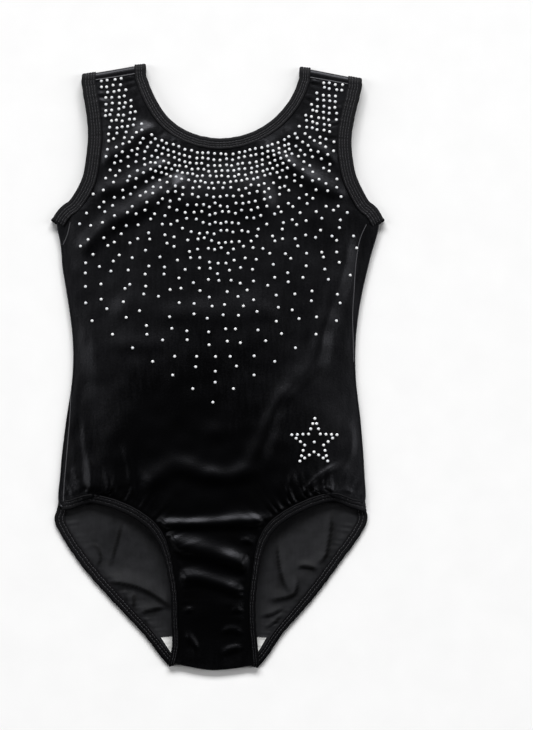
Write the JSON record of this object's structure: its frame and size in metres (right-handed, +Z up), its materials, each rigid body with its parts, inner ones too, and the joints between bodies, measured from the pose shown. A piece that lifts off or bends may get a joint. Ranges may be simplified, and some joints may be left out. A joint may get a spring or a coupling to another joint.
{
  "type": "gymnastics leotard",
  "caption": "Sleeveless tank leotard in stretch velvet, lying flat, with bound scoop neck, armholes and leg openings and a yoke of set crystals that thins to a V.",
  "frame": {"origin": "on the floor under the middle of the garment's box", "axes": "+X is the right of the garment as seen from the front (the wearer's left), +Y runs from crotch to neck, +Z points up out of the front"},
  "size_m": [0.2832, 0.5137, 0.0143],
  "materials": {
    "velvet": "black stretch velvet with a short, dense pile and a grey-blue sheen; its wrong side is matte charcoal knit",
    "binding": "black stretch knit, folded and cover-stitched",
    "lining": "white cotton-like knit",
    "elastic": "white flat elastic",
    "thread": "black textured polyester thread",
    "lining_thread": "pale polyester thread",
    "label": "plain white satin ribbon, blank",
    "crystal": "clear flat-back glass with a silver foil back"
  },
  "bodies": {
    "root": {"front_panel": "velvet", "back_panel": "velvet", "crotch_lining": "lining", "neck_binding": "binding", "armhole_binding_left": "binding", "armhole_binding_right": "binding", "leg_binding_left": "binding", "leg_binding_right": "binding", "neck_elastic": "elastic", "armhole_elastic_left": "elastic", "armhole_elastic_right": "elastic", "leg_elastic_left": "elastic", "leg_elastic_right": "elastic", "neck_topstitch": "thread", "armhole_topstitch_left": "thread", "armhole_topstitch_right": "thread", "leg_topstitch_left": "thread", "leg_topstitch_right": "thread", "lining_topstitch": "lining_thread", "shoulder_seam_left": "thread", "shoulder_seam_right": "thread", "side_seam_left": "thread", "side_seam_right": "thread", "crotch_seam": "thread", "care_label": "label", "strap_crystals_left": "crystal", "strap_crystals_right": "crystal", "neckline_crystals": "crystal", "chest_crystals": "crystal", "lower_crystals": "crystal", "emblem_crystals": "crystal"}
  },
  "joints": []
}
